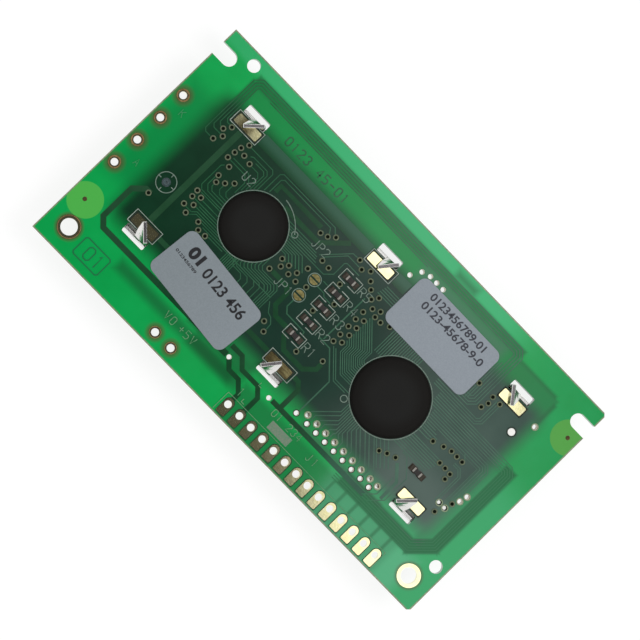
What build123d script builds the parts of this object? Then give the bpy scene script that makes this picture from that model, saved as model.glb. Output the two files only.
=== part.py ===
from build123d import *
import os

# Character LCD module, 84 x 44 mm, lying face down on its metal bezel.
# X runs along the board, Y across it, and Z up through the board's back.
# The origin is at the middle of the board, on the plane that the bezel's face rests on.

# Circuit board
board_length = 84.0
board_width = 44.0
board_thickness = 1.6
corner_chamfer = 0.5
copper = 0.05  # thickness of a land, and of the plating in a hole

# Mounting holes below, edge slots above, and the two holes that located the panel
mount_hole = 2.7
mount_land = 3.85
mount_inset = 4.0
edge_slot_width = 2.6
edge_slot_depth = 3.75
edge_slot_from_top = 3.95
tooling_hole = 2.15
tooling_inset = 1.95
tooling_a_from_left = 6.0
tooling_b_from_bottom = 8.0

# Bezel: one folded sheet
sheet = 0.5
bezel_length = 70.2
bezel_width = 26.4
bezel_depth = 5.8
bezel_centre_y = 1.35
bezel_corner = 1.0
fold_radius = 0.3
corner_slit = 0.5
window_bevel = 0.25

# Bezel tabs: half of each tab stops in its slot as a shoulder, and the other half is the neck
# that goes on through the board, flares and is twisted over the ground pad
tab_width = 4.2
neck_width = 2.2
shoulder_height = 0.8
tab_height = 1.5
tab_lift = 0.1
tab_end_inset = 5.2
tab_middle_x = 0.08
slot_length = 4.5
slot_width = 1.7
slot_shift_y = 0.15
slot_outboard = 0.22
head_width = 3.35
head_sheet = 0.6
head_chamfer = 0.12
# Row (+1 above, -1 below), column, side of the neck (+1 right), twist in degrees, and how far
# the head leans from the neck in x and y
tabs = [
    (1, -1, 1, 43.5, -0.5, -0.9),
    (1, 0, 1, 52.0, -0.2, -0.9),
    (1, 1, -1, -51.0, 0.1, -0.9),
    (-1, -1, 1, -43.5, -0.4, 1.35),
    (-1, 0, -1, 52.0, -0.05, 1.2),
    (-1, 1, -1, 46.0, 0.2, 1.5),
]

# Ground pads under the tabs
ground_pad_length = 4.75
ground_pad_width = 1.6
ground_pad_gap = 0.35
ground_pad_corner = 0.25

# Display cell, from the bezel's face inwards
polariser = 0.2
glass = 1.1
cell_gap = 0.05
reflector = 0.25
glass_end_space = 2.3
glass_side_space = 0.5
contact_ledge = 2.5
window_end_margin = 1.8
window_side_margin = 1.7
polariser_overlap = 1.2
seal_width = 1.0

# Elastomer connector strips
strip_width = 2.0
strip_length = 58.0
strip_side_gap = 0.25

# Spacer frame of white plastic
frame_clearance = 0.15
frame_rib = 1.25
frame_cross_rib = 2.0
frame_end_border = 4.0
strip_clearance = 0.1
peg_hole = 1.3
peg_clearance = 0.05
peg_y_from_middle = 7.95
peg_from_bar = 0.8
pip_diameter = 0.6
pip_height = 1.5
pip_lean = 0.1

# J1: fourteen plated contacts in one row, counted from the left
j1_count = 14
j1_pitch = 2.54
j1_hole = 1.2
j1_land_width = 1.55
j1_land_below = 1.95
j1_land_above = 1.05
j1_land_corner = 0.25
j1_last_from_right = 10.08
j1_from_bottom = 2.45

# Supply contacts to the left of J1
supply_hole = 1.25
supply_land = 1.95
supply_from_pin_1 = (15.95, 12.5)
supply_from_bottom = 2.15

# Backlight contacts along the left edge
backlight_count = 4
backlight_pitch = 4.95
backlight_hole = 1.2
backlight_land = 2.1
backlight_from_left = 1.65
backlight_middle_y = 1.47

# Open vias that light shows through; each row has a first x, a count and a height over the wall
open_via = 0.85
via_row_pitch = 2.0
outer_via_row = (9.72, 7, -1.02)
inner_via_row = (8.85, 8, 0.05)
row_end_vias = [(7.35, -1.02), (23.64, -1.02), (24.5, 0.05)]
top_vias = [(4.35, 0.4), (5.35, 2.1), (6.8, 2.55), (8.2, 2.55), (9.65, 2.55)]
edge_vias = [(-6.25, 7.7), (2.65, 7.7)]
end_vias = [(0.25, -5.5), (0.55, -4.2), (0.2, 11.15)]
pip_vias_in = (1.95, 0.7)
pip_vias_y = -7.95

# Epoxy caps and the bare chips under them: centre x, centre y, cap radius, cap height, chip size
cap_u1 = (16.0, -0.6, 6.45, 1.4, 5.2)
cap_u2 = (-18.2, 2.6, 5.45, 1.3, 4.4)
chip_height = 0.4
rim_run = 1.3
rim_share = 0.78

# Chip resistors: R1 to R5 in a column, and one more to the right
resistor_length = 1.6
resistor_width = 0.8
resistor_height = 0.45
end_cap_length = 0.3
resistor_column_x = -1.5
resistor_column_y = -4.65
resistor_pitch = 3.06
resistor_count = 5
extra_resistor = (27.3, -5.8)
land_length = 1.3
land_width = 1.1
land_gap = 0.5
solder_top = 0.36

# Solder jumpers, one above the other
jumper_radius = 0.85
jumper_gap = 0.3
jumper_x = -5.55
jumpers_y = (0.2, 3.7)

# Paper labels: centre y, length, width, turn in degrees; each lies between two tabs
label_thickness = 0.12
label_corner = 1.3
label_left = (-9.7, 17.6, 9.2, -5.5)
label_left_from_tab = 13.7
label_right = (11.9, 17.7, 9.4, -0.3)
label_right_from_tab = 15.05

# Levels and places that follow from the sizes above
board_under = bezel_depth
board_top = board_under + board_thickness
front_glass_under = sheet + polariser
cell_under = front_glass_under + glass
rear_glass_under = cell_under + cell_gap
reflector_under = rear_glass_under + glass
frame_under = reflector_under + reflector

left = -board_length / 2
right = board_length / 2
bottom = -board_width / 2
top = board_width / 2
bezel_end = bezel_length / 2
wall_middle = bezel_width / 2 - sheet / 2
tab_x = bezel_end - tab_end_inset
bezel_low = bezel_centre_y - bezel_width / 2
bezel_high = bezel_centre_y + bezel_width / 2

glass_length = bezel_length - 2 * sheet - 2 * glass_end_space
front_glass_width = bezel_width - 2 * sheet - 2 * glass_side_space
rear_glass_width = front_glass_width - 2 * contact_ledge
window_length = glass_length - 2 * window_end_margin
window_width = rear_glass_width - 2 * window_side_margin
polariser_length = window_length + 2 * polariser_overlap
polariser_width = window_width + 2 * polariser_overlap

strip_middle = rear_glass_width / 2 + strip_side_gap + strip_width / 2
frame_length = bezel_length - 2 * sheet - 2 * frame_clearance
frame_width = bezel_width - 2 * sheet - 2 * frame_clearance
end_bar_inner = glass_length / 2 + frame_clearance
end_bar_outer = frame_length / 2

j1_last_x = right - j1_last_from_right
j1_first_x = j1_last_x - (j1_count - 1) * j1_pitch
j1_y = bottom + j1_from_bottom

mount_holes = [(left + mount_inset, bottom + mount_inset), (right - mount_inset, bottom + mount_inset)]
supply_spots = [(j1_first_x - step, bottom + supply_from_bottom) for step in supply_from_pin_1]
j1_spots = [(j1_first_x + k * j1_pitch, j1_y) for k in range(j1_count)]
backlight_spots = [
    (left + backlight_from_left, backlight_middle_y + (k - (backlight_count - 1) / 2) * backlight_pitch)
    for k in range(backlight_count)
]
tooling_spots = [
    (left + tooling_a_from_left, top - tooling_inset),
    (right - tooling_inset, bottom + tooling_b_from_bottom),
]
peg_spot = (end_bar_inner + peg_from_bar, bezel_centre_y + peg_y_from_middle)
pip_spots = [(bezel_end - inset, bezel_centre_y + pip_vias_y) for inset in pip_vias_in]
resistor_spots = [
    (resistor_column_x, resistor_column_y + k * resistor_pitch) for k in range(resistor_count)
] + [extra_resistor]


def tab_places():
    """Middle of each tab's blank in the bezel wall, its row, neck side, twist and lean."""
    for row, column, side, twist, lean_x, lean_y in tabs:
        x = column * tab_x + tab_middle_x
        yield x, bezel_centre_y + row * wall_middle, row, side, twist, (lean_x, lean_y)


def slot_y(row):
    """Middle line of the board's tab slots, a little outside the bezel wall."""
    return bezel_centre_y + slot_shift_y + row * (wall_middle + slot_outboard)


def discs(spots, diameter):
    """Flat discs of one size at the given places."""
    return Sketch() + [Pos(x, y) * Circle(diameter / 2) for x, y in spots]


def via_spots():
    """Open vias: two rows under the bezel's lower wall and groups above, below and at the right."""
    spots = []
    for first_x, count, from_wall in (outer_via_row, inner_via_row):
        spots += [(first_x + k * via_row_pitch, bezel_low + from_wall) for k in range(count)]
    spots += [(x, bezel_low + from_wall) for x, from_wall in row_end_vias]
    spots += [(x, bezel_high + up) for x, up in top_vias]
    spots += [(x, bottom + up) for x, up in edge_vias]
    spots += [(bezel_end + out, bezel_centre_y + up) for out, up in end_vias]
    return spots + pip_spots


def make_board():
    """Board with chamfered right corners, edge slots, tab slots and every open hole."""
    outline = Rectangle(board_length, board_width)
    outline = chamfer(outline.vertices().group_by(Axis.X)[-1], corner_chamfer)
    slot_straight = edge_slot_depth - edge_slot_width / 2
    for edge, inward in ((left, 1), (right, -1)):
        middle = (edge + inward * slot_straight / 2, top - edge_slot_from_top)
        outline -= Pos(*middle) * Rectangle(slot_straight, edge_slot_width)
        outline -= Pos(edge + inward * slot_straight, middle[1]) * Circle(edge_slot_width / 2)
    for x, _, row, *_ in tab_places():
        outline -= Pos(x, slot_y(row)) * RectangleRounded(slot_length, slot_width, window_bevel)
    outline -= discs(mount_holes, mount_hole + 2 * copper)
    outline -= discs(tooling_spots, tooling_hole)
    outline -= discs(j1_spots, j1_hole + 2 * copper)
    outline -= discs(supply_spots, supply_hole + 2 * copper)
    outline -= discs(backlight_spots, backlight_hole + 2 * copper)
    outline -= discs(via_spots(), open_via)
    outline -= discs([peg_spot], peg_hole)
    return Pos(0, 0, board_under) * extrude(outline, board_thickness)


def plated_contacts(spots, hole, land):
    """Plated holes: a copper barrel through the board with a land on each side."""
    bore = Circle(hole / 2)
    barrel = extrude(Circle(hole / 2 + copper) - bore, board_thickness)
    flange = extrude(land - bore, copper)
    contact = Pos(0, 0, board_under) * barrel
    contact += Pos(0, 0, board_under - copper) * flange
    contact += Pos(0, 0, board_top) * flange
    return [Pos(x, y) * contact for x, y in spots]


def j1_land():
    """Land of one J1 contact: round above, square with small corners towards the board's edge."""
    half = j1_land_width / 2
    body = j1_land_below + j1_land_above - half
    square = Pos(0, body / 2 - j1_land_below) * RectangleRounded(j1_land_width, body, j1_land_corner)
    middle = Pos(0, j1_land_above - half - j1_land_corner) * Rectangle(j1_land_width, 2 * j1_land_corner)
    return square + middle + Pos(0, j1_land_above - half) * Circle(half)


def tab_section(level, share, width, thick, twist, lean):
    """Section of a tab at one level, with its share of the head's twist and lean."""
    return Pos(share * lean[0], share * lean[1], level) * Rot(0, 0, share * twist) * Rectangle(width, thick)


def make_tab(x, y, side, twist, lean):
    """One tab: its blank on the wall, the shoulder in the slot, and the twisted, flared head."""
    blank_height = sheet + shoulder_height
    blank = Pos(x, y, bezel_depth + shoulder_height - blank_height / 2)
    blank = blank * Box(tab_width, sheet, blank_height)
    clear = board_top + copper + tab_lift
    head = board_top + tab_height
    levels = [
        (bezel_depth + shoulder_height - sheet, 0.0, neck_width, sheet),
        (board_top - board_thickness / 4, 0.0, neck_width, sheet),
        (clear, 0.1, neck_width + copper, sheet),
        ((clear + head) / 2, 0.55, (neck_width + head_width) / 2, (sheet + head_sheet) / 2),
        (head - head_chamfer, 1.0, head_width, head_sheet),
        (head, 1.0, head_width - 2 * head_chamfer, head_sheet - 2 * head_chamfer),
    ]
    sections = [tab_section(*level, twist, lean) for level in levels]
    neck_x = x + side * (tab_width - neck_width) / 2
    return blank + Pos(neck_x, y) * loft(sections, ruled=True)


def make_bezel():
    """Folded frame: face with bevelled window, four walls slit at the corners, six tabs."""
    outer = extrude(RectangleRounded(bezel_length, bezel_width, bezel_corner), bezel_depth)
    outer = fillet(outer.faces().sort_by(Axis.Z)[0].edges(), fold_radius + sheet)
    inside = RectangleRounded(bezel_length - 2 * sheet, bezel_width - 2 * sheet, bezel_corner - sheet)
    inner = Pos(0, 0, sheet) * extrude(inside, bezel_depth)
    inner = fillet(inner.faces().sort_by(Axis.Z)[0].edges(), fold_radius)
    window = extrude(Rectangle(window_length, window_width), sheet)
    rim = Rectangle(window_length + 2 * window_bevel, window_width + 2 * window_bevel)
    bevel = loft([rim, Pos(0, 0, window_bevel) * Rectangle(window_length, window_width)])
    shell = outer - inner - window - bevel
    slit_reach = bezel_corner + corner_slit
    for across in (-1, 1):
        for along in (-1, 1):
            spot = Pos(along * bezel_end, across * (bezel_width / 2 - slit_reach), 0)
            height = bezel_depth - fold_radius - sheet
            slit = Pos(0, 0, bezel_depth - height / 2) * Box(4 * sheet, corner_slit, height)
            shell -= spot * slit
    bezel = Pos(0, bezel_centre_y) * shell
    for x, y, _, side, twist, lean in tab_places():
        bezel += make_tab(x, y, side, twist, lean)
    return bezel


def plate(length, width, thickness, under, corner=0.0):
    """Flat plate on the bezel's centre line."""
    flat = RectangleRounded(length, width, corner) if corner else Rectangle(length, width)
    return Pos(0, bezel_centre_y, under) * extrude(flat, thickness)


def make_seal():
    """Seal round the edge of the cell, between the two glasses."""
    ring = Rectangle(glass_length, rear_glass_width)
    ring -= Rectangle(glass_length - 2 * seal_width, rear_glass_width - 2 * seal_width)
    return Pos(0, bezel_centre_y, cell_under) * extrude(ring, cell_gap)


def make_strip(row):
    """Elastomer strip that joins the glass ledge to the board."""
    height = board_under - cell_under
    y = bezel_centre_y + row * strip_middle
    return Pos(0, y, cell_under + height / 2) * Box(strip_length, strip_width, height)


def make_frame():
    """White plastic frame behind the glass, with bars past its ends, one peg and two pips."""
    height = board_under - frame_under
    flat = Rectangle(frame_length, frame_width)
    middle_width = 2 * (strip_middle - strip_width / 2 - strip_clearance - frame_rib)
    flat -= Rectangle(frame_length - 2 * frame_end_border, middle_width)
    flat += Rectangle(frame_cross_rib, middle_width)
    pocket = Rectangle(strip_length + 2 * strip_clearance, strip_width + 2 * strip_clearance)
    flat -= Pos(0, strip_middle) * pocket
    flat -= Pos(0, -strip_middle) * pocket
    frame = Pos(0, bezel_centre_y, frame_under) * extrude(flat, height)
    bar_width = end_bar_outer - end_bar_inner
    bar_height = board_under - sheet - fold_radius
    bar_length = frame_width - 2 * (bezel_corner + corner_slit)
    for side in (-1, 1):
        bar = Box(bar_width, bar_length, bar_height)
        bar_x = side * (end_bar_inner + end_bar_outer) / 2
        frame += Pos(bar_x, bezel_centre_y, board_under - bar_height / 2) * bar
    peg = extrude(Circle(peg_hole / 2 - peg_clearance), board_thickness)
    frame += Pos(*peg_spot, board_under) * peg
    pip = extrude(Circle(pip_diameter / 2), pip_height)
    for x, y in pip_spots:
        frame += Pos(x - pip_lean, y, board_under) * pip
    return frame


def make_cap(x, y, radius, height, chip):
    """Epoxy cap: a low drop that is flat on top and steep at its rim, hollow over its chip."""
    shoulder = (radius - rim_run, rim_share * height)
    crown = TangentArc((0, height), shoulder, tangent=(1, 0))
    rim = TangentArc(shoulder, (radius, 0), tangent=crown % 1)
    outline = crown + rim + Polyline((radius, 0), (0, 0), (0, height))
    drop = revolve(Plane.XZ * make_face(outline), Axis.Z)
    chip_block = Pos(0, 0, chip_height / 2) * Box(chip, chip, chip_height)
    return Pos(x, y, board_top) * (drop - chip_block)


def make_chip(x, y, chip):
    """Bare silicon chip on the board, under its epoxy cap."""
    return Pos(x, y, board_top + chip_height / 2) * Box(chip, chip, chip_height)


def make_resistor(x, y):
    """Chip resistor: ceramic body with a metal cap at each end."""
    body_length = resistor_length - 2 * end_cap_length
    level = board_top + copper + resistor_height / 2
    pieces = [Pos(x, y, level) * Box(body_length, resistor_width, resistor_height)]
    for side in (-1, 1):
        cap_x = x + side * (resistor_length - end_cap_length) / 2
        pieces.append(Pos(cap_x, y, level) * Box(end_cap_length, resistor_width, resistor_height))
    return pieces


def make_resistor_lands():
    """Copper lands under the ends of every chip resistor."""
    land = Box(land_length, land_width, copper)
    offset = (land_gap + land_length) / 2
    return [
        Pos(x + side * offset, y, board_top + copper / 2) * land
        for x, y in resistor_spots
        for side in (-1, 1)
    ]


def make_solder():
    """Solder fillets, hollow-faced, from each end cap down to the end of its land."""
    start = resistor_length / 2
    end = land_gap / 2 + land_length - copper
    foot = (end, 0)
    crest = (start, solder_top)
    sag = (start + 0.38 * (end - start), 0.34 * solder_top)
    outline = ThreePointArc(crest, sag, foot) + Polyline(foot, (start, 0), crest)
    wedge = extrude(Plane.XZ * make_face(outline), land_width / 2 - copper, both=True)
    pieces = []
    for x, y in resistor_spots:
        for turn in (0, 180):
            pieces.append(Pos(x, y, board_top + copper) * Rot(0, 0, turn) * wedge)
    return pieces


def make_ground_pads():
    """Bare pads beside the tab slots, on the side towards the board's middle."""
    flat = RectangleRounded(ground_pad_length, ground_pad_width, ground_pad_corner)
    pad = extrude(flat, copper)
    reach = slot_width / 2 + ground_pad_gap + ground_pad_width / 2
    return [Pos(x, slot_y(row) - row * reach, board_top) * pad for x, _, row, *_ in tab_places()]


def make_jumper(y):
    """Solder jumper: a disc split into two half moons."""
    flat = Circle(jumper_radius) - Rectangle(2 * jumper_radius, jumper_gap)
    halves = extrude(flat, copper)
    return [Pos(jumper_x, y, board_top) * half for half in halves.solids()]


def make_label(x, y, length, width, turn):
    """Paper label stuck on the board."""
    paper = extrude(RectangleRounded(length, width, label_corner), label_thickness)
    return Pos(x, y, board_top) * Rot(0, 0, turn) * paper


def save(name, shape):
    """Write one node, as one solid or as a group of separate solids."""
    solids = shape if isinstance(shape, list) else [shape]
    shape = Compound(children=solids) if len(solids) > 1 else solids[0]
    export_step(shape, os.path.join("parts", name + ".step"))


os.makedirs("parts", exist_ok=True)

save("circuit_board", make_board())
save("bezel", make_bezel())
save("front_polariser", plate(polariser_length, polariser_width, polariser, sheet))
save("front_glass", plate(glass_length, front_glass_width, glass, front_glass_under))
save("cell_seal", make_seal())
crystal_length = glass_length - 2 * seal_width
crystal_width = rear_glass_width - 2 * seal_width
save("liquid_crystal", plate(crystal_length, crystal_width, cell_gap, cell_under))
save("rear_glass", plate(glass_length, rear_glass_width, glass, rear_glass_under))
save("rear_polariser", plate(polariser_length, polariser_width, reflector, reflector_under))
save("connector_strip_upper", make_strip(1))
save("connector_strip_lower", make_strip(-1))
save("spacer_frame", make_frame())
for name, (x, y, radius, height, chip) in (("u1", cap_u1), ("u2", cap_u2)):
    save("epoxy_cap_" + name, make_cap(x, y, radius, height, chip))
    save("silicon_chip_" + name, make_chip(x, y, chip))
for number, (x, y) in enumerate(resistor_spots, start=1):
    save("chip_resistor_" + str(number), make_resistor(x, y))
save("resistor_lands", make_resistor_lands())
save("resistor_solder", make_solder())
save("j1_contacts", plated_contacts(j1_spots, j1_hole, j1_land()))
save("mounting_eyelets", plated_contacts(mount_holes, mount_hole, Circle(mount_land / 2)))
save("backlight_contacts", plated_contacts(backlight_spots, backlight_hole, Circle(backlight_land / 2)))
save("supply_contacts", plated_contacts(supply_spots, supply_hole, Circle(supply_land / 2)))
save("ground_pads", make_ground_pads())
for name, y in zip(("jumper_1", "jumper_2"), jumpers_y):
    save(name, make_jumper(y))
save("label_left", make_label(label_left_from_tab - tab_x, *label_left))
save("label_right", make_label(tab_x - label_right_from_tab, *label_right))
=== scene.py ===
import math
import bpy
from mathutils import Matrix, Vector


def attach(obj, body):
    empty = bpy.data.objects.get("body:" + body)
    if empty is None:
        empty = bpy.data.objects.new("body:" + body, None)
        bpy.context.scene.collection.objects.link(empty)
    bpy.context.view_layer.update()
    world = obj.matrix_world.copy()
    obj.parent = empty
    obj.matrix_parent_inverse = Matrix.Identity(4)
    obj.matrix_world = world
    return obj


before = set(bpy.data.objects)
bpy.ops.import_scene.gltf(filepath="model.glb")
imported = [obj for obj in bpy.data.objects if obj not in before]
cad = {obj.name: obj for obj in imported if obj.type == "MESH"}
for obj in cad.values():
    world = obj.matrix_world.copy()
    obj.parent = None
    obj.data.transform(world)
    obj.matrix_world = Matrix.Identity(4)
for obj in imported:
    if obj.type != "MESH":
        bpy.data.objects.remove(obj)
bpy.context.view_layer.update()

# Bezel: one piece of tinned sheet steel, punched and folded into a shallow tray with a window.
# Its six tabs come up through the board and are twisted to hold the display and board together.
cut_edge_from = 8.86


def add(tree, kind, sockets=None, **settings):
    """Adds one node, sets its options, and sets or links the sockets given."""
    made = tree.nodes.new(kind)
    for name, value in settings.items():
        setattr(made, name, value)
    for name, value in (sockets or {}).items():
        if isinstance(value, bpy.types.NodeSocket):
            tree.links.new(value, made.inputs[name])
        else:
            made.inputs[name].default_value = value
    return made


def calculate(tree, operation, *values):
    """Result of a math node on these values."""
    return add(tree, "ShaderNodeMath", dict(enumerate(values)), operation=operation).outputs[0]


def split(tree, place):
    """The x, y and z of a place."""
    return add(tree, "ShaderNodeSeparateXYZ", {0: place}).outputs


def stretch(tree, place, amounts):
    """A place with its x, y and z multiplied by these amounts."""
    return add(tree, "ShaderNodeVectorMath", {0: place, 1: amounts}, operation="MULTIPLY").outputs[0]


def paint(red, green, blue):
    """A colour from its 0 to 255 parts, as the shader's sockets take it."""
    parts = [c / 255 for c in (red, green, blue)]
    return [c / 12.92 if c <= 0.04045 else ((c + 0.055) / 1.055) ** 2.4 for c in parts] + [1.0]


def blend_colours(tree, factor, low, high):
    """Colour between two others, each a list or a socket."""
    return add(tree, "ShaderNodeMix", {0: factor, 6: low, 7: high}, data_type="RGBA").outputs[2]


def shade(tree, factor, low, high):
    """Colour between two given by their 0 to 255 parts."""
    return blend_colours(tree, factor, paint(*low), paint(*high))


def mottle(tree, place, scale, detail=2.0):
    """Cloudy factor from 0 to 1; scale is in patches per mm."""
    cloud = add(tree, "ShaderNodeTexNoise", {"Vector": place, "Scale": scale, "Detail": detail})
    return add(tree, "ShaderNodeMapRange", {0: cloud.outputs["Fac"], 1: 0.3, 2: 0.7}).outputs[0]


def new_finish(name, **sockets):
    """A material with one Principled shader: the material, its tree, shader and coordinates in mm."""
    material = bpy.data.materials.new(name)
    material.use_nodes = True
    tree = material.node_tree
    shader = tree.nodes["Principled BSDF"]
    for socket, value in sockets.items():
        shader.inputs[socket.replace("_", " ")].default_value = value
    metres = add(tree, "ShaderNodeTexCoord").outputs["Object"]
    place = add(tree, "ShaderNodeVectorMath", {0: metres, "Scale": 1000.0}, operation="SCALE").outputs[0]
    return material, tree, shader, place


def set_colour(tree, shader, colour):
    """Lets a socket give a finish its colour."""
    tree.links.new(colour, shader.inputs["Base Color"])


def rough_surface(tree, shader, height, depth):
    """Bump from a height factor, depth in mm."""
    bump = add(tree, "ShaderNodeBump", {"Height": height, "Distance": depth / 1000})
    tree.links.new(bump.outputs[0], shader.inputs["Normal"])


def dress(material, *names):
    """Gives CAD nodes a finish."""
    for name in names:
        cad[name].data.materials.clear()
        cad[name].data.materials.append(material)


tin, tree, shader, place = new_finish("tinned_steel", Metallic=1.0, Roughness=0.2)
scratches = mottle(tree, stretch(tree, place, (0.35, 7.0, 7.0)), 1.0, 4.0)
plated = shade(tree, mottle(tree, place, 0.25), (226, 226, 224), (244, 243, 239))
cut_edge = calculate(tree, "GREATER_THAN", split(tree, place)[2], cut_edge_from)
set_colour(tree, shader, blend_colours(tree, cut_edge, plated, paint(138, 134, 136)))
tree.links.new(add(tree, "ShaderNodeMapRange", {0: scratches, 3: 0.14, 4: 0.26}).outputs[0],
               shader.inputs["Roughness"])
rough_surface(tree, shader, scratches, 0.0015)
dress(tin, "bezel")

# Display cell: two glasses with liquid crystal between them, a polariser film on the front and
# a reflector film behind. The film shows faint character cells where the electrodes lie.
column_pitch, row_pitch = 3.55, 5.95
dot_pitch, dot_tall = 0.6, 0.7
window_middle = 1.35


def from_repeat(tree, value, middle, pitch):
    """How far value lies from the middle of the nearest repeat, as a share of the pitch."""
    turned = calculate(tree, "DIVIDE", calculate(tree, "SUBTRACT", value, middle), pitch)
    part = calculate(tree, "FRACT", calculate(tree, "ADD", turned, 0.5))
    return calculate(tree, "ABSOLUTE", calculate(tree, "SUBTRACT", part, 0.5))


def inside_repeat(tree, value, middle, pitch, share):
    """1 where value lies in the middle share of its repeat."""
    return calculate(tree, "LESS_THAN", from_repeat(tree, value, middle, pitch), share / 2)


def product(tree, *factors):
    """Factors multiplied together."""
    total = factors[0]
    for factor in factors[1:]:
        total = calculate(tree, "MULTIPLY", total, factor)
    return total


def clouded_finish(name, scale, low, high, **sockets):
    """A finish that drifts between two colours; scale is in patches per mm."""
    material, tree, shader, place = new_finish(name, **sockets)
    set_colour(tree, shader, shade(tree, mottle(tree, place, scale), low, high))
    return material


film, tree, shader, place = new_finish("polariser_film", Roughness=0.12, IOR=1.5)
axes = split(tree, place)
first_column, first_row = column_pitch / 2, window_middle + row_pitch / 2
cells = product(
    tree,
    inside_repeat(tree, axes[0], first_column, column_pitch, 0.84),
    inside_repeat(tree, axes[1], first_row, row_pitch, 0.94),
    inside_repeat(tree, axes[0], first_column, dot_pitch, 0.9),
    inside_repeat(tree, axes[1], first_row, dot_tall, 0.9),
)
set_colour(tree, shader, shade(tree, cells, (150, 160, 120), (139, 150, 112)))
dress(film, "front_polariser")
glass = clouded_finish("cell_glass", 0.1, (226, 236, 231), (233, 241, 236), Roughness=0.03, IOR=1.52,
                       Transmission_Weight=0.9)
dress(glass, "front_glass", "rear_glass")
reflector = clouded_finish("reflector_film", 6.0, (188, 192, 180), (203, 206, 195), Metallic=0.7,
                           Roughness=0.35)
dress(reflector, "rear_polariser")
seal = clouded_finish("seal_resin", 3.0, (182, 184, 168), (198, 199, 186), Roughness=0.5)
dress(seal, "cell_seal")
crystal = clouded_finish("crystal_layer", 0.5, (168, 178, 140), (176, 186, 150), Roughness=0.2)
dress(crystal, "liquid_crystal")

# Connector strips: rubber in thin layers, pink insulating ones between dark conductive ones,
# pressed between the glass ledge and the board's contacts.
layer_pitch = 0.18
rubber, tree, shader, place = new_finish("strip_rubber", Roughness=0.7)
layers = inside_repeat(tree, split(tree, place)[0], 0.0, layer_pitch, 0.5)
set_colour(tree, shader, shade(tree, layers, (206, 160, 142), (120, 88, 80)))
dress(rubber, "connector_strip_upper", "connector_strip_lower")

# Spacer frame: white moulded plastic that holds the cell and strips; its peg and pips stand in
# holes at the board's right end.
plastic, tree, shader, place = new_finish("white_plastic", Roughness=0.45)
grain = mottle(tree, place, 9.0)
set_colour(tree, shader, shade(tree, grain, (236, 236, 230), (246, 246, 242)))
rough_surface(tree, shader, grain, 0.004)
dress(plastic, "spacer_frame")

# Circuit board: glass-epoxy laminate under green solder mask. The light that comes through the bare laminate
# past the bezel is painted into the mask's colour as a bright green glow, and over the bezel the board is
# painted dark, the bezel's painted shade. Places here are mm from its middle.
board_top = 7.4
pin_pitch = 2.54
backlight_x, backlight_ys = -40.35, (8.9, 3.95, -1.0, -5.95)
supply_xs, supply_y = (-17.05, -13.6), -19.85
eyelet_xs, eyelet_y = (-38.0, 38.0), -18.0
bare_discs = ((-39.25, -13.3), (40.25, 15.1))
edge_x, edge_y = 41.8, 21.8
slanting = 0.7071


def ramp_between(tree, value, low, high, first=0.0, last=1.0):
    """Smooth factor from first to last while value goes from low to high."""
    return add(tree, "ShaderNodeMapRange", {0: value, 1: low, 2: high, 3: first, 4: last},
               interpolation_type="SMOOTHSTEP").outputs[0]


def soft_box(tree, axes, low_x, high_x, low_y, high_y, soft, most=1.0):
    """The factor most inside a box given in mm, 0 outside, with a soft border."""
    sides = []
    for axis, low, high in ((axes[0], low_x, high_x), (axes[1], low_y, high_y)):
        away = calculate(tree, "ABSOLUTE", calculate(tree, "SUBTRACT", axis, (low + high) / 2))
        sides.append(calculate(tree, "SUBTRACT", away, (high - low) / 2))
    return ramp_between(tree, calculate(tree, "MAXIMUM", *sides), -soft / 2, soft / 2, most, 0.0)


def soft_disc(tree, place, x, y, radius, soft):
    """1 inside a disc given in mm, 0 outside, with a soft border."""
    flat = stretch(tree, place, (1, 1, 0))
    far = add(tree, "ShaderNodeVectorMath", {0: flat, 1: (x, y, 0)}, operation="DISTANCE").outputs["Value"]
    return ramp_between(tree, far, radius - soft / 2, radius + soft / 2, 1.0, 0.0)


def along(tree, place, direction):
    """How far a place lies in a direction."""
    sockets = {0: place, 1: direction}
    return add(tree, "ShaderNodeVectorMath", sockets, operation="DOT_PRODUCT").outputs["Value"]


def largest(tree, factors):
    """The largest of several factors."""
    most = factors[0]
    for factor in factors[1:]:
        most = calculate(tree, "MAXIMUM", most, factor)
    return most


def new_mask(name):
    """Solder mask without its colour: shiny at the right, duller at the left and round the middle."""
    material, tree, shader, place = new_finish(name, Roughness=0.15, IOR=1.55)
    axes = split(tree, place)
    between_caps = soft_disc(tree, place, 1.5, -2.0, 11.0, 8.0)
    below_caps = soft_box(tree, axes, -8.0, 16.0, -26.0, -12.5, 7.0)
    dull = calculate(tree, "MAXIMUM", between_caps, below_caps)
    kept = add(tree, "ShaderNodeMapRange", {0: dull, 3: 1.0, 4: 0.5}).outputs[0]
    gloss = product(tree, ramp_between(tree, axes[0], -26.0, 4.0, 0.2, 0.44), kept)
    tree.links.new(gloss, shader.inputs["Specular IOR Level"])
    return material, tree, shader, place, axes


mask, tree, shader, place, axes = new_mask("green_solder_mask")
cloud = mottle(tree, place, 0.22)
# Painted shade: the part of the board over the bezel, with soft edges
bezel_shade = product(
    tree,
    ramp_between(tree, axes[0], -37.8, -33.6),
    ramp_between(tree, axes[0], 33.2, 37.2, 1.0, 0.0),
    ramp_between(tree, axes[1], -14.5, -9.6),
    ramp_between(tree, axes[1], 12.7, 16.3, 1.0, 0.0),
)
# Colour of the painted shade over the bezel, greyer at the right where painted sheen is mixed in
dark = blend_colours(tree, ramp_between(tree, axes[0], -34.0, 0.0),
                     shade(tree, cloud, (6, 45, 26), (10, 53, 32)),
                     shade(tree, cloud, (4, 42, 30), (8, 48, 35)))
dark = blend_colours(tree, ramp_between(tree, axes[0], 5.0, 32.0),
                     dark, shade(tree, cloud, (38, 66, 56), (50, 76, 66)))
# Painted light: the painted shade is paler and greyer towards the lower right corner
corner_glow = soft_box(tree, axes, 22.0, 37.5, -12.5, -4.0, 6.0, 0.8)
dark = blend_colours(tree, corner_glow, dark, paint(72, 92, 84))
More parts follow.
